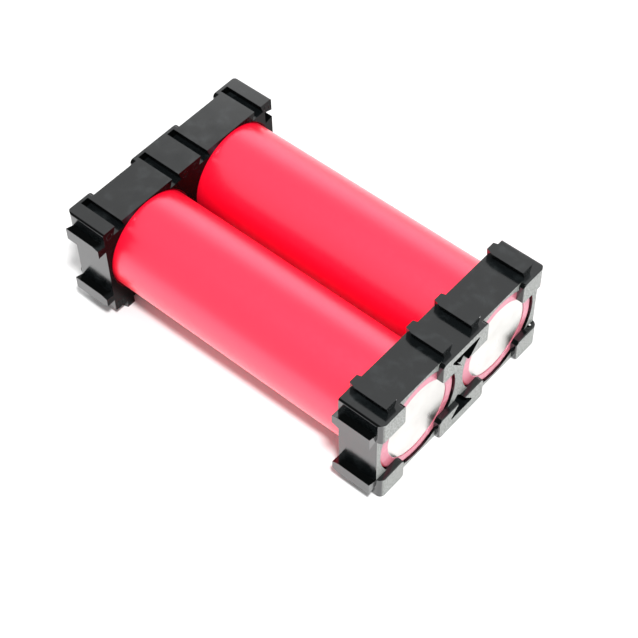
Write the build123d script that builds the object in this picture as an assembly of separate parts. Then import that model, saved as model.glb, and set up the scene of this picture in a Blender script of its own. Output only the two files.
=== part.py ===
"""Two-cell pack: a pair of moulded cell holder brackets on two sleeved 18650 cells.

X runs along the cells, Y from cell to cell and Z up. The origin is the middle of the
pack's footprint, at the height of the lowest rib. Sizes are in millimetres.
"""
from build123d import *
import os

# Cells: a steel can in a heat-shrink sleeve, with its positive cap at the -X end.
cell_length = 65.0
can_diameter = 18.2
can_edge_radius = 0.5
sleeve_wall = 0.12
sleeve_overlap = 2.0
cap_proud = 0.2
cap_diameter = 8.2
cap_thickness = 0.55
cap_flange_play = 0.5
cap_flange_thickness = 0.45
cap_gap = 0.15
vent_count = 3
vent_width = 1.8
insulator_thickness = 0.25
insulator_setback = 1.1
insulator_bore = 9.2
crimp_width = 2.3
crimp_thickness = 0.5
groove_setback = 4.2
groove_width = 1.6
groove_depth = 0.9
sleeve_dip = 0.22

# Bracket moulding: one unit for each cell, side by side.
cell_count = 2
web_between_cells = 1.9
rim_wall = 0.5
bracket_depth = 8.6
lip_thickness = 1.25
channel_depth = 1.0
channel_width = 9.0
block_height = 4.6
lip_bore = 14.6
pocket_clearance = 0.08
pocket_lead_in = 0.25
outline_radius = 0.4
end_corner_radius = 1.2
block_corner_radius = 0.8
block_edge_radius = 0.25

# Triangular cores in the outer face, between neighbouring cells.
core_rib_wall = 1.4
core_slot_wall = 0.45
core_apex = 4.3
core_flare = 1.8
core_depth = 5.2
core_corner_radius = 0.25

# Dovetail rails that lock one bracket to the next.
rail_inset = 3.5
rail_head = 2.5
rail_neck = 1.4
rail_height = 1.6
rail_setback = 0.15
lead_in_length = 1.3
lead_in_width = 0.4
rail_clearance = 0.1
slot_end_clearance = 0.3

# Sizes that follow from those above.
can_radius = can_diameter / 2
sleeve_radius = can_radius + sleeve_wall
pocket_radius = sleeve_radius + pocket_clearance
cell_pitch = 2 * pocket_radius + web_between_cells
unit_height = 2 * (pocket_radius + rim_wall)
shoulder_length = cell_length - cap_proud
pack_length = shoulder_length + 2 * lip_thickness
bracket_width = cell_count * cell_pitch
channel_floor = bracket_depth - channel_depth
seat_depth = bracket_depth - lip_thickness
block_width = (cell_pitch - channel_width) / 2
half_height = unit_height / 2
half_width = bracket_width / 2
cell_rows = [(i - (cell_count - 1) / 2) * cell_pitch for i in range(cell_count)]
rail_rows = [row + side * (cell_pitch / 2 - rail_inset) for row in cell_rows for side in (-1, 1)]
rail_levels = [side * (half_height - rail_inset) for side in (-1, 1)]
slot_mouth = rail_neck + 2 * rail_clearance
slot_floor = rail_head + 2 * rail_clearance
slot_depth = rail_height + rail_clearance
rail_length = channel_floor - rail_setback
slot_length = channel_floor + slot_end_clearance

# The cell axes stand above the origin by half a unit and one rib, and the ribs on the
# -Y side shift the middle of the footprint by half a rib.
axis_height = half_height + rail_height
axis_shift = rail_height / 2

from_face = (Align.CENTER, Align.CENTER, Align.MIN)
from_rim = (Align.MAX, Align.MAX, Align.CENTER)


def across(x):
    """The plane across the pack at x, drawn with Y to the right and Z up."""
    return Plane((x, 0, 0), x_dir=(0, 1, 0), z_dir=(1, 0, 0))


def rounded_face(corners):
    """A face from (x, y, radius) corners, each rounded where its radius is over zero."""
    face = make_face(Polyline(*[(x, y) for x, y, _ in corners], close=True))
    for x, y, radius in corners:
        if radius > 0:
            corner = face.vertices().sort_by_distance((x, y, 0))[0]
            face = fillet(corner, radius)
    return face


def turned(corners):
    """A solid of revolution about X from (x, distance from axis, radius) corners."""
    return revolve(rounded_face(corners), Axis.X, 360)


def dovetail(root, head, height):
    """A dovetail section that stands up from its root at the sketch origin."""
    left = [(-root / 2, 0), (-head / 2, height)]
    right = [(head / 2, height), (root / 2, 0)]
    return make_face(Polyline(*left, *right, close=True))


def bracket_outline():
    """The moulding's full outline, one unit for each cell."""
    return RectangleRounded(bracket_width, unit_height, outline_radius)


def corner_blocks():
    """The blocks that stand out round the channels and lip over the cell ends."""
    channel = RectangleRounded(channel_width, 2 * unit_height, block_corner_radius)
    blocks = Sketch() + bracket_outline()
    blocks -= Rectangle(bracket_width, unit_height - 2 * block_height)
    for row in cell_rows:
        blocks -= Pos(row, 0) * channel
    corners = blocks.vertices().filter_by(lambda v: abs(abs(v.Y) - half_height) < outline_radius / 2)
    inner = [v for v in corners if abs(v.X) < half_width - block_width / 2]
    return fillet(inner, block_corner_radius)


def plan_outline():
    """The moulding seen from above, with its two outer end corners rounded."""
    plan = Pos(bracket_depth / 2, 0) * Rectangle(bracket_depth, bracket_width)
    outer = plan.vertices().group_by(Axis.X)[-1]
    return fillet(outer, end_corner_radius)


def cores():
    """Triangular cores above and below each wall between two cells, apex to the wall."""
    rib_side = half_height - core_rib_wall
    slot_side = half_height - slot_depth - core_slot_wall
    sketch = Sketch()
    for row in cell_rows[1:]:
        wall = row - cell_pitch / 2
        for side, level in ((1, rib_side), (-1, slot_side)):
            reach = (level - core_apex) * core_flare / 2
            sketch += rounded_face([
                (wall - reach, side * level, core_corner_radius),
                (wall + reach, side * level, core_corner_radius),
                (wall, side * core_apex, core_corner_radius),
            ])
    return sketch


def rail_seats(side):
    """Where rails stand: on +Z and -Y for ribs (side 1), on -Z and +Y for slots (side -1)."""
    seats = [Pos(0, row, side * half_height) for row in rail_rows]
    return seats + [Pos(0, -side * half_width, level) * Rot(90, 0, 0) for level in rail_levels]


def rib():
    """A dovetail rib, its head narrowed at the inner end so that it finds its slot."""
    section = dovetail(rail_neck, rail_head, rail_height)
    tip = dovetail(rail_neck, rail_head - 2 * lead_in_width, rail_height)
    lead_in = loft([across(0) * tip, across(lead_in_length) * section], ruled=True)
    return lead_in + extrude(across(lead_in_length) * section, rail_length - lead_in_length)


def slot():
    """A dovetail slot, open at the inner face and closed short of the outer one."""
    return extrude(across(0) * dovetail(slot_mouth, slot_floor, slot_depth), slot_length)


def bored(radius, depth):
    """Round cuts of one size on every cell's axis, from the inner face."""
    cuts = Part()
    for row in cell_rows:
        cuts += Pos(0, row, 0) * Rot(0, 90, 0) * Cylinder(radius, depth, align=from_face)
    return cuts


def bracket():
    """One moulding, with its inner face at x = 0 and its outer face at +X."""
    frame = extrude(across(0) * bracket_outline(), channel_floor)
    frame -= bored(pocket_radius, channel_floor)
    blocks = extrude(across(0) * corner_blocks(), bracket_depth)
    outer_edges = blocks.faces().group_by(Axis.X)[-1].edges()
    blocks = fillet(outer_edges, block_edge_radius)
    blocks -= bored(pocket_radius, seat_depth)
    blocks -= bored(lip_bore / 2, bracket_depth)
    body = frame + blocks
    body &= extrude(Plane.XY * plan_outline(), half_height, both=True)
    for row in cell_rows:
        funnel = Cone(pocket_radius + pocket_lead_in, pocket_radius, pocket_lead_in, align=from_face)
        body -= Pos(0, row, 0) * Rot(0, 90, 0) * funnel
    body -= extrude(across(bracket_depth) * cores(), -core_depth)
    for seat in rail_seats(-1):
        body -= seat * slot()
    for seat in rail_seats(1):
        body += seat * rib()
    return body


def can():
    """The steel can, sealed, from its flat base to the crimp round the cap."""
    base = shoulder_length - sleeve_wall
    top = sleeve_wall + insulator_thickness
    groove = top + groove_setback
    bed = top + crimp_thickness + cap_gap
    return turned([
        (base, 0, 0),
        (base, can_radius, can_edge_radius),
        (groove + groove_width / 2, can_radius, 0),
        (groove + groove_width / 4, can_radius - groove_depth, 0),
        (groove - groove_width / 4, can_radius - groove_depth, 0),
        (groove - groove_width / 2, can_radius, 0),
        (top, can_radius, can_edge_radius),
        (top, can_radius - crimp_width, 0),
        (bed + cap_flange_thickness, can_radius - crimp_width, 0),
        (bed + cap_flange_thickness, 0, 0),
    ])


def sleeve():
    """The shrunk sleeve, which folds over both ends of the can as a narrow ring."""
    groove = sleeve_wall + insulator_thickness + groove_setback
    ring = sleeve_radius - sleeve_overlap
    edge = can_edge_radius + sleeve_wall
    dip = groove_width / 2 - sleeve_wall
    outer = shoulder_length
    inner = shoulder_length - sleeve_wall
    return turned([
        (0, ring, 0),
        (0, sleeve_radius, edge),
        (groove - dip, sleeve_radius, 0),
        (groove, sleeve_radius - sleeve_dip, 0),
        (groove + dip, sleeve_radius, 0),
        (outer, sleeve_radius, edge),
        (outer, ring, 0),
        (inner, ring, 0),
        (inner, can_radius, can_edge_radius),
        (groove + dip, can_radius, 0),
        (groove, can_radius - sleeve_dip, 0),
        (groove - dip, can_radius, 0),
        (sleeve_wall, can_radius, can_edge_radius),
        (sleeve_wall, ring, 0),
    ])


def insulator():
    """The paper ring under the sleeve's fold at the positive end."""
    inner_face = sleeve_wall + insulator_thickness
    return turned([
        (sleeve_wall, insulator_bore / 2, 0),
        (sleeve_wall, can_radius - insulator_setback, 0),
        (inner_face, can_radius - insulator_setback, 0),
        (inner_face, insulator_bore / 2, 0),
    ])


def cap():
    """The positive cap: a flange inside the crimp and a raised button with vents."""
    bed = sleeve_wall + insulator_thickness + crimp_thickness + cap_gap
    button_edge = cap_thickness / 3
    flange_radius = can_radius - crimp_width - cap_flange_play
    solid = turned([
        (-cap_proud, 0, 0),
        (-cap_proud, cap_diameter / 2, button_edge),
        (bed, cap_diameter / 2, 0),
        (bed, flange_radius, 0),
        (bed + cap_flange_thickness, flange_radius, 0),
        (bed + cap_flange_thickness, 0, 0),
    ])
    vent_depth = bed + cap_proud - cap_thickness
    for turn in range(vent_count):
        window = Box(vent_depth, cap_diameter / 4, vent_width, align=from_rim)
        solid -= Rot(360 * turn / vent_count, 0, 0) * Pos(bed, cap_diameter / 2, 0) * window
    return solid


def save(name, shape):
    """Write one named piece, moved from the pack's own axes to the model's origin."""
    placed = Pos(0, axis_shift, axis_height) * shape
    placed.label = name
    export_step(placed, f"parts/{name}.step")


def main():
    os.makedirs("parts", exist_ok=True)
    moulding = bracket()
    place = Pos(pack_length / 2 - bracket_depth, 0, 0)
    save("bracket_negative_end", place * moulding)
    save("bracket_positive_end", Rot(0, 180, 0) * place * moulding)
    for number, row in enumerate(cell_rows, start=1):
        seat = Pos(-shoulder_length / 2, row, 0)
        save(f"cell_{number}_can", seat * can())
        save(f"cell_{number}_sleeve", seat * sleeve())
        save(f"cell_{number}_insulator", seat * insulator())
        save(f"cell_{number}_cap", seat * cap())


main()
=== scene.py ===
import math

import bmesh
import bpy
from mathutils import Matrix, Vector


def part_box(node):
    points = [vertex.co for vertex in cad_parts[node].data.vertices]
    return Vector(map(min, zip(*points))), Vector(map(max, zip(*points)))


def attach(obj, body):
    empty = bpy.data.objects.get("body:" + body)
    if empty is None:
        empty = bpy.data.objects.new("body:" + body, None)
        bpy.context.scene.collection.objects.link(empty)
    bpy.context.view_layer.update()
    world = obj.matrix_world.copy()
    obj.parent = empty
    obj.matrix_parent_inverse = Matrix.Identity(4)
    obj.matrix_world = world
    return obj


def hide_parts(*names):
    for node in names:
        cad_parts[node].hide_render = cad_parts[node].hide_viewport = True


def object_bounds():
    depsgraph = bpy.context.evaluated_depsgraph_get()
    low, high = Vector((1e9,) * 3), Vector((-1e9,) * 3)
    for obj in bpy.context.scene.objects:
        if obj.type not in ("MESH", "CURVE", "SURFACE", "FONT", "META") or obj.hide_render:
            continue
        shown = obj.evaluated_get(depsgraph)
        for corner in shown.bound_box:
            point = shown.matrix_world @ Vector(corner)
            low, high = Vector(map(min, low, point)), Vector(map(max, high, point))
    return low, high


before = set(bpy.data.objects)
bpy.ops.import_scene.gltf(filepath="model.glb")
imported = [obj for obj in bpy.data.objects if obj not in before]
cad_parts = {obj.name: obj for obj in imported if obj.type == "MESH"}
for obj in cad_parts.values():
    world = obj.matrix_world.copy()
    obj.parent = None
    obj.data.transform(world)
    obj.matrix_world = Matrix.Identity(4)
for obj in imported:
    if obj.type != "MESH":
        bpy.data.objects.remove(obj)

# %% [markdown]
# # A two-cell battery pack in moulded brackets
# Two round cells in red shrink film are clipped at each end into the same black
# bracket. The brackets lock to their neighbours with dovetail ribs and slots. The rigid
# pieces come from the CAD frame loaded above, so this lesson gives them their finishes,
# remakes the thin film sleeves with their gathered folds, adds the marks that the
# moulding's ejector pins leave, and sets up table, light and camera.

MM = 0.001
cad_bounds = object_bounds()
low, high = cad_bounds
cells = sorted({name.rsplit("_", 1)[0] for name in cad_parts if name.startswith("cell_")})


def srgb(code):
    """A hex colour such as "#4a4f50" as the linear values that Blender works in."""
    parts = [int(code[i:i + 2], 16) / 255 for i in (1, 3, 5)]
    linear = [p / 12.92 if p <= 0.04045 else ((p + 0.055) / 1.055) ** 2.4 for p in parts]
    return (*linear, 1.0)


def add(tree, kind, inputs=None, **settings):
    """Add one node. Settings are its properties; inputs are values, or sockets to link."""
    node = tree.nodes.new(kind)
    for name, value in settings.items():
        setattr(node, name, value)
    for key, value in (inputs or {}).items():
        if isinstance(value, bpy.types.NodeSocket):
            tree.links.new(value, node.inputs[key])
        else:
            node.inputs[key].default_value = value
    return node


def math_node(tree, operation, *values):
    """The result of one sum on numbers or sockets."""
    return add(tree, "ShaderNodeMath", dict(enumerate(values)), operation=operation).outputs[0]


def new_material(name):
    """An empty material with its node tree, ready for a shader."""
    material = bpy.data.materials.new(name)
    material.use_nodes = True
    material.node_tree.nodes.clear()
    return material, material.node_tree


def noise(tree, vector, spacing, detail=2.0):
    """A noise pattern whose blobs lie about `spacing` millimetres apart."""
    inputs = {"Vector": vector, "Scale": 1 / (spacing * MM), "Detail": detail}
    return add(tree, "ShaderNodeTexNoise", inputs).outputs["Fac"]


def remap(tree, value, low_in, high_in, low_out, high_out):
    """Stretch a value from one range to another, and stop it at the ends."""
    inputs = {"Value": value, "From Min": low_in, "From Max": high_in, "To Min": low_out, "To Max": high_out}
    return add(tree, "ShaderNodeMapRange", inputs).outputs[0]


def blend(tree, factor, first, second):
    """Mix two colours by a factor."""
    mixed = add(tree, "ShaderNodeMix", {"Factor": factor, "A": first, "B": second}, data_type="RGBA")
    return mixed.outputs["Result"]


def bump(tree, height, distance, strength, under=None):
    """Small relief of `distance` millimetres, on top of other relief if there is any."""
    inputs = {"Height": height, "Distance": distance * MM, "Strength": strength}
    if under is not None:
        inputs["Normal"] = under
    return add(tree, "ShaderNodeBump", inputs).outputs[0]


def finish_material(tree, **sockets):
    """Close the material with one Principled shader, its sockets named by keyword."""
    inputs = {name.replace("_", " "): value for name, value in sockets.items()}
    shader = add(tree, "ShaderNodeBsdfPrincipled", inputs)
    add(tree, "ShaderNodeOutputMaterial", {"Surface": shader.outputs[0]})


def dress(node_name, material):
    """Give a CAD node its finish; the mesh itself is left alone."""
    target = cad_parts[node_name]
    target.data.materials.clear()
    target.data.materials.append(material)


print("pack measures", [round((high[i] - low[i]) / MM, 2) for i in range(3)], "mm, cells:", cells)

# %% [markdown]
# ## Black ABS, injection moulded
# The brackets are pressed from black ABS in a polished steel mould, so they shine and
# take their brightness from what they mirror: grey where they face the white table, black
# where one wall mirrors the next. Only the outer end faces, where the mould was
# spark-eroded, carry a fine grain that scatters light; their pale grey colour is partly
# that grain and partly painted light, for how brightly these faces are lit. The undercut
# sides of the ribs and the faces that look at the cells lie in the plastic's own shade:
# their colour is painted near black there, as painted shade, and their shine is turned down
# to keep them almost black. One material does all three: the place along the pack and the
# direction that a face looks in choose the finish. Faces could be selected by hand
# instead, but a rule follows any change of the model.

# %% The bracket's plastic
OUTER_GRAIN = 0.32      # mm, the spacing of the spark-eroded grain
FLOW_LENGTH = 9.0       # mm, the slow waves left as the plastic cooled
RUB_SPACING = 2.5       # mm, faint rubbed patches from handling
GRAIN_STARTS = 32.57    # mm from the middle, beyond the floors of the cores and the ribs
END_FACING = 0.75, 0.95 # cosine to the pack's axis, from not yet to fully an end face
UNDERCUT = 0.2, 0.28    # sideways times upwards part of the normal on a rib's side
POLISHED_INDEX = 1.68   # refractive index, above plain ABS's for the polished skin
OPEN_SHINE = 0.46       # specular level of the faces in the light
SHADED_SHINE = 0.03     # and of those in the plastic's own shade

abs_plastic, tree = new_material("black_abs_injection_moulded")
place = add(tree, "ShaderNodeTexCoord")
facing = add(tree, "ShaderNodeSeparateXYZ", {"Vector": place.outputs["Normal"]})
where = add(tree, "ShaderNodeSeparateXYZ", {"Vector": place.outputs["Object"]})
end = math_node(tree, "SIGN", where.outputs["X"])
out_by = math_node(tree, "MULTIPLY", where.outputs["X"], end)
outwards = math_node(tree, "MULTIPLY", facing.outputs["X"], end)
faces_out = remap(tree, outwards, END_FACING[0], END_FACING[1], 0.0, 1.0)
faces_in = remap(tree, outwards, -END_FACING[0], -END_FACING[1], 0.0, 1.0)
lies_out = math_node(tree, "GREATER_THAN", out_by, GRAIN_STARTS * MM)
grain_and_painted_light = math_node(tree, "MULTIPLY", faces_out, lies_out)
slant = math_node(tree, "MULTIPLY", facing.outputs["Y"], facing.outputs["Z"])
rib_flank = remap(tree, math_node(tree, "ABSOLUTE", slant), UNDERCUT[0], UNDERCUT[1], 0.0, 1.0)
shaded = math_node(tree, "MAXIMUM", faces_in, rib_flank)
grain = noise(tree, place.outputs["Object"], OUTER_GRAIN, detail=3.0)
flow = noise(tree, place.outputs["Object"], FLOW_LENGTH)
rub = noise(tree, place.outputs["Object"], RUB_SPACING, detail=5.0)
polished = blend(tree, flow, srgb("#07090a"), srgb("#0e1112"))
wear_and_painted_shade = blend(tree, remap(tree, rub, 0.55, 0.8, 0.0, 0.25), polished, srgb("#3a4042"))
# Painted shade: the rib undercuts and the faces towards the cells are painted near black.
wear_and_painted_shade = blend(tree, shaded, wear_and_painted_shade, srgb("#050606"))
# The pale grey of the grained end faces is partly painted light, for how brightly they are lit; the speckle
# is the real grain.
grain_painted_light_tone = blend(tree, remap(tree, grain, 0.35, 0.65, 0.0, 1.0), srgb("#585b58"), srgb("#868986"))
tone = blend(tree, grain_and_painted_light, wear_and_painted_shade, grain_painted_light_tone)
polished_rough = remap(tree, rub, 0.3, 0.7, 0.1, 0.2)
rough = add(tree, "ShaderNodeMix", {"Factor": grain_and_painted_light, "A": polished_rough, "B": 0.5}, data_type="FLOAT")
relief = bump(tree, grain, 0.03, grain_and_painted_light)
relief = bump(tree, flow, 0.05, 0.5, under=relief)
shine = remap(tree, shaded, 0.0, 1.0, OPEN_SHINE, SHADED_SHINE)
finish_material(
    tree,
    Base_Color=tone,
    Roughness=rough.outputs["Result"],
    IOR=POLISHED_INDEX,
    Specular_IOR_Level=shine,
    Normal=relief,
)
for name in ("bracket_negative_end", "bracket_positive_end"):
    dress(name, abs_plastic)
print("plastic on both brackets, grain", OUTER_GRAIN, "mm")

# %% [markdown]
# ## Nickel-plated steel, deep drawn
# The cans and caps are drawn from nickel-plated strip. The plating is bright but not
# mirror-like: fine marks from the drawing punch spread the reflections on the flat base.

# %% The cans' steel
DRAW_MARKS = 0.35   # mm, spacing of the marks left by the punch
BLOTCH = 4.0        # mm, cloudy patches in the plating

nickel_steel, tree = new_material("nickel_plated_steel_deep_drawn")
place = add(tree, "ShaderNodeTexCoord")
blotch = noise(tree, place.outputs["Object"], BLOTCH, detail=4.0)
marks = noise(tree, place.outputs["Object"], DRAW_MARKS)
tone = blend(tree, blotch, srgb("#c4c3c0"), srgb("#b6b5b2"))
rough = remap(tree, blotch, 0.3, 0.7, 0.26, 0.38)
relief = bump(tree, marks, 0.01, 0.3)
finish_material(tree, Base_Color=tone, Metallic=1.0, Roughness=rough, Normal=relief)
for cell in cells:
    dress(f"{cell}_can", nickel_steel)
    dress(f"{cell}_cap", nickel_steel)
print("steel on", len(cells), "cans and caps")

# %% [markdown]
# ## Insulating paper
# Under the film at the positive end lies a punched ring of white pressed paper. It is
# matt, with short fibres that show as faint cloudy specks.

# %% The insulating rings
FIBRE = 0.5   # mm

paper, tree = new_material("white_insulating_paper_punched")
place = add(tree, "ShaderNodeTexCoord")
fibre = noise(tree, place.outputs["Object"], FIBRE, detail=5.0)
tone = blend(tree, fibre, srgb("#c9c6bd"), srgb("#b9b5aa"))
finish_material(tree, Base_Color=tone, Roughness=0.85, Normal=bump(tree, fibre, 0.02, 0.5))
for cell in cells:
    dress(f"{cell}_insulator", paper)
print("paper rings", len(cells))

# %% [markdown]
# ## Shrunk PVC film
# Each cell wears a tube of red PVC film, shrunk on with hot air. It is thin, glossy and
# evenly coloured, and it follows the can with long, shallow waves. The pigment is a pure
# red. The pink of the lit side is the white room mirrored softly in the film's shine,
# which is why the red is deepest where film faces film. Where the film is gathered over
# the can's end it has whitened to a dull pink.

# %% The film
FILM_WAVE = 14.0   # mm, the long waves along the cell
FILM_PEEL = 0.8    # mm, fine patches of more and of less shine
FILM_INDEX = 1.9   # refractive index, above plain PVC's because the shrunk film shines more
FOLD_STARTS = 32.1 # mm from the middle, where the film bends over the can's end
FOLD_ENDS = 32.35  # mm, where it lies flat and is gathered to its palest

film, tree = new_material("red_pvc_film_heat_shrunk")
place = add(tree, "ShaderNodeTexCoord")
stretched = add(tree, "ShaderNodeMapping", {"Vector": place.outputs["Object"], "Scale": (0.25, 1.0, 1.0)})
wave = noise(tree, stretched.outputs[0], FILM_WAVE)
peel = noise(tree, place.outputs["Object"], FILM_PEEL)
where = add(tree, "ShaderNodeSeparateXYZ", {"Vector": place.outputs["Object"]})
out_by = math_node(tree, "ABSOLUTE", where.outputs["X"])
folded = remap(tree, out_by, FOLD_STARTS * MM, FOLD_ENDS * MM, 0.0, 1.0)
tone = blend(tree, wave, srgb("#ee0429"), srgb("#e80324"))
tone = blend(tree, folded, tone, srgb("#b05f6c"))
rough = remap(tree, peel, 0.3, 0.7, 0.31, 0.36)
relief = bump(tree, wave, 0.22, 0.5)
cool_tint = srgb("#ffdeff")   # the mirrored room turns a little towards violet
finish_material(
    tree, Base_Color=tone, Roughness=rough, IOR=FILM_INDEX, Specular_Tint=cool_tint, Normal=relief
)
print("film ready, waves", FILM_WAVE, "mm")

# %% [markdown]
# ## The sleeves
# The film folds over each end of the can and shrinks there into a narrow ring. The fold
# gathers into small pleats and its cut edge wanders a little, which a turned CAD solid
# doesn't show. So each sleeve is made again by a Geometry Nodes tree: it takes the
# sleeve's section, carries it round the cell on a grid, and presses the pleats into the
# outer skin only, so that the film never reaches outside the room that CAD gives it. The
# same form could be sculpted, but a tree keeps the number and depth of the pleats in
# named inputs, and a seed makes the two cells differ.

# %% The sleeve's section
FILM_WALL = 0.12        # mm
RING_WIDTH = 2.0        # mm from the film's outside to its cut edge
EDGE_RADIUS = 0.62      # mm, the film's bend round the can's edge
GROOVE_FROM_END = 4.57  # mm from the positive end to the can's crimped groove
GROOVE_HALF = 0.68      # mm
GROOVE_DIP = 0.22       # mm, how far the film sinks into the groove
ARC_STEPS = 7           # points round the bend
DIP_STEPS = 4           # points on each side of the groove
BODY_STEPS = 24         # points along the rest of the can


def skin(length, radius, inset):
    """One side of the film's section, from cut edge to cut edge.

    Each point is its place along and out, the way that a pleat presses it, and how far
    it follows the wandering cut edge. The inner side is the outer one, set in by the wall.
    The flat ring has a point at its cut edge, one close behind it and two near the bend.
    """
    ring = radius - RING_WIDTH
    fold = [(inset, ring, 0.3, 0.0, 1.0), (inset, ring + 0.12, 1.0, 0.0, 0.8)]
    fold.append((inset, radius - EDGE_RADIUS - 0.8, 1.0, 0.0, 0.3))
    fold.append((inset, radius - EDGE_RADIUS - 0.4, 1.0, 0.0, 0.0))
    for step in range(ARC_STEPS + 1):
        turn = math.pi / 2 * step / ARC_STEPS
        fade = 1 - step / ARC_STEPS
        along = EDGE_RADIUS - (EDGE_RADIUS - inset) * math.cos(turn)
        out = radius - EDGE_RADIUS + (EDGE_RADIUS - inset) * math.sin(turn)
        fold.append((along, out, fade * math.cos(turn), -fade * math.sin(turn), 0.0))
    wall = []
    for step in range(-DIP_STEPS, DIP_STEPS + 1):
        dip = GROOVE_DIP * (1 + math.cos(math.pi * step / DIP_STEPS)) / 2
        wall.append((GROOVE_FROM_END + GROOVE_HALF * step / DIP_STEPS, radius - inset - dip, 0.0, 0.0, 0.0))
    first, last = wall[-1][0], length - EDGE_RADIUS
    for step in range(1, BODY_STEPS):
        wall.append((first + (last - first) * step / BODY_STEPS, radius - inset, 0.0, 0.0, 0.0))
    far = [(length - along, out, -press, sink, edge) for along, out, press, sink, edge in reversed(fold)]
    return fold + wall + far


def sleeve_section(cell):
    """A mesh of the closed section's points, with what each may do stored beside it."""
    start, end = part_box(f"{cell}_sleeve")
    length, radius = (end.x - start.x) / MM, (end.z - start.z) / MM / 2
    outside = skin(length, radius, 0.0)
    inside = [(along, out, 0.0, 0.0, edge) for along, out, _, _, edge in skin(length, radius, FILM_WALL)]
    rows = outside + inside[::-1]
    mesh = bpy.data.meshes.new(f"{cell}_section")
    mesh.from_pydata([(along * MM, 0.0, out * MM) for along, out, _, _, _ in rows], [], [])
    presses = [value for _, _, press, sink, _ in rows for value in (press, 0.0, sink)]
    mesh.attributes.new("inward", "FLOAT_VECTOR", "POINT").data.foreach_set("vector", presses)
    edges = [edge for _, _, _, _, edge in rows]
    mesh.attributes.new("edge", "FLOAT", "POINT").data.foreach_set("value", edges)
    centre = Vector((start.x, (start.y + end.y) / 2, (start.z + end.z) / 2))
    return mesh, centre


# %% The tree that turns the section
END_SHIFT = 100.0       # noise units per metre, so that a sleeve's two ends differ
DRIFT_SCALE = 1.6       # noise scale round the cell of the cut edge's slow wander
DRIFT_REACH = 4.0       # brings the noise's swing about its middle to about one
PLEAT_NOISE = 0.35, 0.62  # noise values at which a pleat is flat and at its deepest
WELD = 0.0005           # mm, points closer than this become one


def group_socket(tree, name, kind, default=None):
    """One named input of a node group."""
    socket = tree.interface.new_socket(name=name, in_out="INPUT", socket_type=kind)
    if default is not None:
        socket.default_value = default
    return socket.identifier


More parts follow.
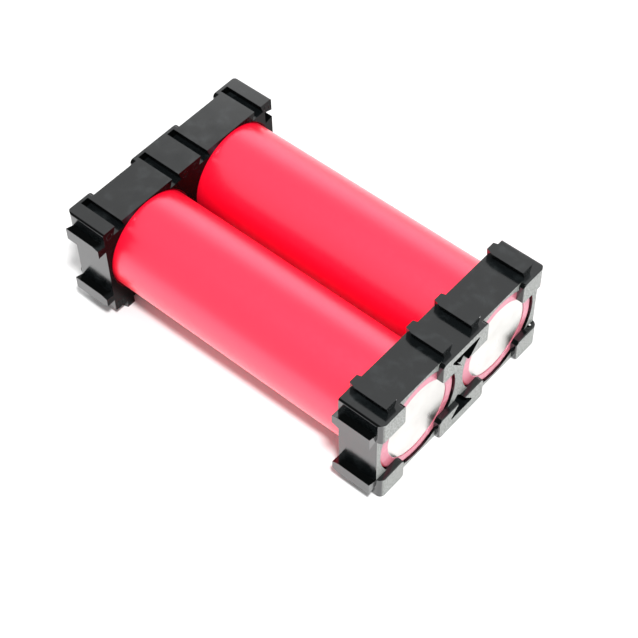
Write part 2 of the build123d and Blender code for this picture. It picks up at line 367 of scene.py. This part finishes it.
def turning_tree():
    """A tree that carries a section round an axis and gathers pleats into its folds."""
    tree = bpy.data.node_groups.new("turn_film_sleeve", "GeometryNodeTree")
    tree.interface.new_socket(name="Geometry", in_out="OUTPUT", socket_type="NodeSocketGeometry")
    names = {
        "Section": group_socket(tree, "Section", "NodeSocketGeometry"),
        "Centre": group_socket(tree, "Centre", "NodeSocketVector"),
        "Around": group_socket(tree, "Around", "NodeSocketInt", 192),
        "Pleats": group_socket(tree, "Pleats", "NodeSocketFloat", 9.0),
        "Pleat Depth": group_socket(tree, "Pleat Depth", "NodeSocketFloat", 0.05 * MM),
        "Edge Wander": group_socket(tree, "Edge Wander", "NodeSocketFloat", 0.12 * MM),
        "Seed": group_socket(tree, "Seed", "NodeSocketFloat", 1.0),
        "Material": group_socket(tree, "Material", "NodeSocketMaterial"),
    }
    given = add(tree, "NodeGroupInput").outputs
    size = add(tree, "GeometryNodeAttributeDomainSize", {"Geometry": given["Section"]})
    count = size.outputs["Point Count"]
    closed = math_node(tree, "ADD", count, 1.0)
    turns = math_node(tree, "ADD", given["Around"], 1.0)
    grid = add(tree, "GeometryNodeMeshGrid", {"Vertices X": turns, "Vertices Y": closed})
    index = add(tree, "GeometryNodeInputIndex").outputs[0]
    column = math_node(tree, "FLOOR", math_node(tree, "DIVIDE", math_node(tree, "ADD", index, 0.5), closed))
    row = math_node(tree, "SUBTRACT", index, math_node(tree, "MULTIPLY", column, closed))
    row = math_node(tree, "MODULO", math_node(tree, "ROUND", row), count)
    angle = math_node(tree, "DIVIDE", math_node(tree, "MULTIPLY", column, math.tau), given["Around"])
    cosine, sine = math_node(tree, "COSINE", angle), math_node(tree, "SINE", angle)

    def sampled(kind, field):
        node = add(tree, "GeometryNodeSampleIndex", data_type=kind, domain="POINT")
        tree.links.new(given["Section"], node.inputs["Geometry"])
        tree.links.new(field, node.inputs["Value"])
        tree.links.new(row, node.inputs["Index"])
        return node.outputs[0]

    inward_field = add(tree, "GeometryNodeInputNamedAttribute", {"Name": "inward"}, data_type="FLOAT_VECTOR")
    edge_field = add(tree, "GeometryNodeInputNamedAttribute", {"Name": "edge"}, data_type="FLOAT")
    point = sampled("FLOAT_VECTOR", add(tree, "GeometryNodeInputPosition").outputs[0])
    inward = sampled("FLOAT_VECTOR", inward_field.outputs["Attribute"])
    edge = sampled("FLOAT", edge_field.outputs["Attribute"])

    ring = add(tree, "ShaderNodeCombineXYZ", {"X": cosine, "Y": sine, "Z": given["Seed"]}).outputs[0]
    end = add(tree, "ShaderNodeSeparateXYZ", {"Vector": point}).outputs
    near_far = math_node(tree, "MULTIPLY", end["X"], END_SHIFT)
    shifted = add(tree, "ShaderNodeCombineXYZ", {"X": 0.0, "Y": 0.0, "Z": near_far}).outputs[0]
    ring = add(tree, "ShaderNodeVectorMath", {0: ring, 1: shifted}, operation="ADD").outputs[0]
    gathers = {"Vector": ring, "Scale": given["Pleats"], "Detail": 1.0}
    pleat = add(tree, "ShaderNodeTexNoise", gathers).outputs["Fac"]
    drift = {"Vector": ring, "Scale": DRIFT_SCALE, "Detail": 2.0}
    wander = add(tree, "ShaderNodeTexNoise", drift).outputs["Fac"]
    depth = remap(tree, pleat, PLEAT_NOISE[0], PLEAT_NOISE[1], 0.0, 1.0)
    depth = math_node(tree, "MULTIPLY", depth, given["Pleat Depth"])
    press = add(tree, "ShaderNodeVectorMath", {0: inward, "Scale": depth}, operation="SCALE").outputs[0]
    moved = add(tree, "ShaderNodeVectorMath", {0: point, 1: press}, operation="ADD").outputs[0]
    parts = add(tree, "ShaderNodeSeparateXYZ", {"Vector": moved}).outputs
    swing = math_node(tree, "MULTIPLY", math_node(tree, "SUBTRACT", wander, 0.5), given["Edge Wander"])
    swing = math_node(tree, "MULTIPLY", math_node(tree, "MULTIPLY", swing, edge), DRIFT_REACH)
    radius = math_node(tree, "ADD", parts["Z"], swing)
    place = add(tree, "ShaderNodeCombineXYZ", {
        "X": parts["X"],
        "Y": math_node(tree, "MULTIPLY", radius, cosine),
        "Z": math_node(tree, "MULTIPLY", radius, sine),
    }).outputs[0]
    place = add(tree, "ShaderNodeVectorMath", {0: place, 1: given["Centre"]}, operation="ADD").outputs[0]
    turned = add(tree, "GeometryNodeSetPosition", {"Geometry": grid.outputs["Mesh"], "Position": place})
    seam = {"Geometry": turned.outputs[0], "Distance": WELD * MM}
    merged = add(tree, "GeometryNodeMergeByDistance", seam)
    smooth = add(tree, "GeometryNodeSetShadeSmooth", {"Geometry": merged.outputs[0]})
    real = add(tree, "GeometryNodeRealizeInstances", {"Geometry": smooth.outputs[0]})
    finish = {"Geometry": real.outputs[0], "Material": given["Material"]}
    coated = add(tree, "GeometryNodeSetMaterial", finish)
    add(tree, "NodeGroupOutput", {"Geometry": coated.outputs[0]})
    return tree, names


def grow(name, mesh, tree, values):
    """Run a tree on a mesh once and keep the result as a plain object at the origin."""
    source = bpy.data.objects.new(f"{name}_source", mesh)
    bpy.context.collection.objects.link(source)
    modifier = source.modifiers.new("grow", "NODES")
    modifier.node_group = tree
    for identifier, value in values.items():
        modifier[identifier] = value
    bpy.context.view_layer.update()
    evaluated = source.evaluated_get(bpy.context.evaluated_depsgraph_get())
    plain = bpy.data.meshes.new_from_object(evaluated)
    plain.name = name
    source.modifiers.remove(modifier)
    bpy.data.objects.remove(source)
    shape = bmesh.new()
    shape.from_mesh(plain)
    bmesh.ops.recalc_face_normals(shape, faces=shape.faces)
    shape.to_mesh(plain)
    shape.free()
    piece = bpy.data.objects.new(name, plain)
    bpy.context.collection.objects.link(piece)
    return piece


tree, names = turning_tree()
for seed, cell in enumerate(cells, start=1):
    section, centre = sleeve_section(cell)
    values = {names["Centre"]: tuple(centre), names["Seed"]: 7.3 * seed, names["Material"]: film}
    sleeve = grow(f"{cell}_pleated_sleeve", section, tree, values)
    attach(sleeve, "root")
    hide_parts(f"{cell}_sleeve")
    loose = sum(1 for e in sleeve.data.edges if e.is_loose)
    print(sleeve.name, "faces", len(sleeve.data.polygons), "loose edges", loose)

# %% [markdown]
# ## Ejector-pin marks
# Round steel pins push the moulding out of the mould and leave a faint raised rim where
# each one met it. They sit in the solid corners of every unit on the inner face. A tree
# sets one rim on each point of a small mesh, which is how repeats of one form are
# usually made: moving a point moves its mark.

# %% The pin marks
PIN_RADIUS = 0.62   # mm
RIM_SECTION = 0.04  # mm, radius of the rim's rounded section
CORNER_Y = 1.25     # mm from a unit's side to the middle of its pin
CORNER_Z = 1.3      # mm from the moulding's top and bottom
UNITS = len(cells)
RIB_HEIGHT = 1.6    # mm


def pin_tree():
    """A tree that sets a thin rim, facing along X, on every point it is given."""
    tree = bpy.data.node_groups.new("set_pin_marks", "GeometryNodeTree")
    tree.interface.new_socket(name="Geometry", in_out="OUTPUT", socket_type="NodeSocketGeometry")
    names = {
        "Points": group_socket(tree, "Points", "NodeSocketGeometry"),
        "Pin Radius": group_socket(tree, "Pin Radius", "NodeSocketFloat", PIN_RADIUS * MM),
        "Rim Section": group_socket(tree, "Rim Section", "NodeSocketFloat", RIM_SECTION * MM),
        "Material": group_socket(tree, "Material", "NodeSocketMaterial"),
    }
    given = add(tree, "NodeGroupInput").outputs
    circle = add(tree, "GeometryNodeCurvePrimitiveCircle", {"Resolution": 32, "Radius": given["Pin Radius"]})
    section = {"Resolution": 8, "Radius": given["Rim Section"]}
    profile = add(tree, "GeometryNodeCurvePrimitiveCircle", section)
    sweep = {"Curve": circle.outputs[0], "Profile Curve": profile.outputs[0]}
    rim = add(tree, "GeometryNodeCurveToMesh", sweep)
    marks = add(tree, "GeometryNodeInstanceOnPoints", {
        "Points": given["Points"],
        "Instance": rim.outputs[0],
        "Rotation": (0.0, math.pi / 2, 0.0),
    })
    real = add(tree, "GeometryNodeRealizeInstances", {"Geometry": marks.outputs[0]})
    smooth = add(tree, "GeometryNodeSetShadeSmooth", {"Geometry": real.outputs[0]})
    finish = {"Geometry": smooth.outputs[0], "Material": given["Material"]}
    coated = add(tree, "GeometryNodeSetMaterial", finish)
    add(tree, "NodeGroupOutput", {"Geometry": coated.outputs[0]})
    return tree, names


def corner_marks(bracket):
    """The pins of one bracket, in the corners of each unit's face towards the cells."""
    start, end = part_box(bracket)
    ribs_up = start.x > 0
    face = start.x if ribs_up else end.x
    bottom = start.z + (0.0 if ribs_up else RIB_HEIGHT * MM)
    top = end.z - (RIB_HEIGHT * MM if ribs_up else 0.0)
    unit = (end.y - start.y - RIB_HEIGHT * MM) / UNITS
    points = []
    for number in range(UNITS):
        for offset in (CORNER_Y * MM, unit - CORNER_Y * MM):
            for level in (bottom + CORNER_Z * MM, top - CORNER_Z * MM):
                points.append((face, end.y - number * unit - offset, level))
    return points


tree, names = pin_tree()
for bracket in ("bracket_negative_end", "bracket_positive_end"):
    mesh = bpy.data.meshes.new(f"{bracket}_pins")
    mesh.from_pydata(corner_marks(bracket), [], [])
    marks = grow(f"{bracket}_pin_marks", mesh, tree, {names["Material"]: abs_plastic})
    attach(marks, "root")
    print(marks.name, "faces", len(marks.data.polygons))

# %% [markdown]
# ## The table
# The pack stands on a plain white table. One bracket stands on its ribs and the other on
# its flat side, so the pack leans by about a degree and a half: the table is laid through
# the two lines that it really touches. Near the pack the table's colour is painted a step
# darker where the camera sees it: painted shade, which keeps the narrow shadow dark while
# the lit table round it stays white. The light that the table throws back on the pack is
# unchanged.

# %% The table
TABLE_SIZE = 3.0     # m
DARKER_TO = 0.1      # m from the ribs' end of the pack, where the darker colour starts to fade
WHITE_FROM = 0.22    # m, where the table is plain white

rib_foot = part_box("bracket_positive_end")
flat_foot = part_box("bracket_negative_end")
lean = (flat_foot[0].z - rib_foot[0].z) / (flat_foot[1].x - rib_foot[1].x)
bpy.ops.mesh.primitive_plane_add(size=TABLE_SIZE)
table = bpy.context.object
table.name = "white_table"
table.rotation_euler = (0.0, -math.atan(lean), 0.0)
table.location = (rib_foot[1].x, 0.0, rib_foot[0].z)
table_white, tree = new_material("white_table_laminate")
seen = add(tree, "ShaderNodeLightPath").outputs["Is Camera Ray"]
place = add(tree, "ShaderNodeTexCoord").outputs["Object"]
away = add(tree, "ShaderNodeVectorMath", {0: place}, operation="LENGTH").outputs["Value"]
near = remap(tree, away, DARKER_TO, WHITE_FROM, 1.0, 0.0)
seen_painted_shade = math_node(tree, "MULTIPLY", seen, near)
# Painted shade: where the camera sees it, the table near the pack is painted darker, which deepens the
# pack's shadow there.
white = blend(tree, seen_painted_shade, srgb("#f4f4f4"), srgb("#d0d0d0"))
finish_material(tree, Base_Color=white, Roughness=0.9)
table.data.materials.append(table_white)
print("table leans by", round(math.degrees(math.atan(lean)), 2), "degrees")

# %% [markdown]
# ## Room and lamps
# The room is an even white that fills every shadow a little. A small lamp above the near
# corner draws the table's shadow and models the grain. A large soft box behind the pack
# lays a pale band along the films; its beam is narrowed, so the band fades at its edges
# as it does under a cloth-fronted box. A plain bright world alone would be simpler, but
# it leaves the round cells flat.

# %% The room
ROOM_STRENGTH = 0.9   # what the room sheds; seen directly, it is pure white
world = bpy.data.worlds.new("soft_room")
bpy.context.scene.world = world
world.use_nodes = True
tree = world.node_tree
tree.nodes.clear()
light_path = add(tree, "ShaderNodeLightPath").outputs
seen = math_node(tree, "MAXIMUM", light_path["Is Camera Ray"], light_path["Is Transmission Ray"])
strength = remap(tree, seen, 0.0, 1.0, ROOM_STRENGTH, 1.0)
sky = add(tree, "ShaderNodeBackground", {"Color": srgb("#ffffff"), "Strength": strength})
add(tree, "ShaderNodeOutputWorld", {"Surface": sky.outputs[0]})
print("room strength", ROOM_STRENGTH)


# %% The lamps
def softbox(name, direction, distance, size, power, spread=180.0):
    """An area light that looks at the pack's middle: metres, watts and degrees."""
    middle = (low + high) / 2
    data = bpy.data.lights.new(name, "AREA")
    data.shape = "RECTANGLE"
    data.size, data.size_y = size
    data.energy = power
    data.spread = math.radians(spread)
    lamp = bpy.data.objects.new(name, data)
    bpy.context.collection.objects.link(lamp)
    lamp.location = middle + Vector(direction).normalized() * distance
    lamp.rotation_euler = (middle - lamp.location).to_track_quat("-Z", "Y").to_euler()
    return lamp


softbox("key_lamp", (0.35, -0.27, 0.9), distance=0.5, size=(0.06, 0.06), power=3.5)
softbox("wall_softbox", (-0.41, 0.79, 0.42), distance=0.5, size=(0.45, 0.36), power=0.15, spread=80.0)
print("lamps", [light.name for light in bpy.data.lights])

# %% [markdown]
# ## The camera
# The pack is seen from above its near corner. The camera's place and turn are given in
# the pack's own axes, so it keeps its view if the pack's finish changes.

# %% Camera
CAMERA_PLACE = (119.02, -127.995, 225.64)   # mm
CAMERA_AZIMUTH = 41.964      # degrees
CAMERA_ELEVATION = 52.194    # degrees
CAMERA_ROLL = -1.547         # degrees
CAMERA_LENS = 93.82          # mm, on a sensor 36 mm wide

camera_data = bpy.data.cameras.new("camera")
camera_data.lens = CAMERA_LENS
camera_data.sensor_width = 36.0
camera_data.clip_start = 0.01   # m
camera = bpy.data.objects.new("camera", camera_data)
bpy.context.collection.objects.link(camera)
bpy.context.scene.camera = camera
azimuth, elevation = math.radians(CAMERA_AZIMUTH), math.radians(CAMERA_ELEVATION)
flat = math.cos(elevation)
back = Vector((math.sin(azimuth) * flat, -math.cos(azimuth) * flat, math.sin(elevation)))
right = Vector((math.cos(azimuth), math.sin(azimuth), 0.0))
turn = Matrix((right, back.cross(right), back)).transposed()
turn = turn @ Matrix.Rotation(math.radians(CAMERA_ROLL), 3, "Z")
camera.rotation_mode = "QUATERNION"
camera.rotation_quaternion = turn.to_quaternion()
camera.location = Vector(CAMERA_PLACE) * MM
bpy.context.scene.view_settings.view_transform = "Standard"
print("camera", round(camera.location.length, 3), "m from the origin, lens", CAMERA_LENS, "mm")
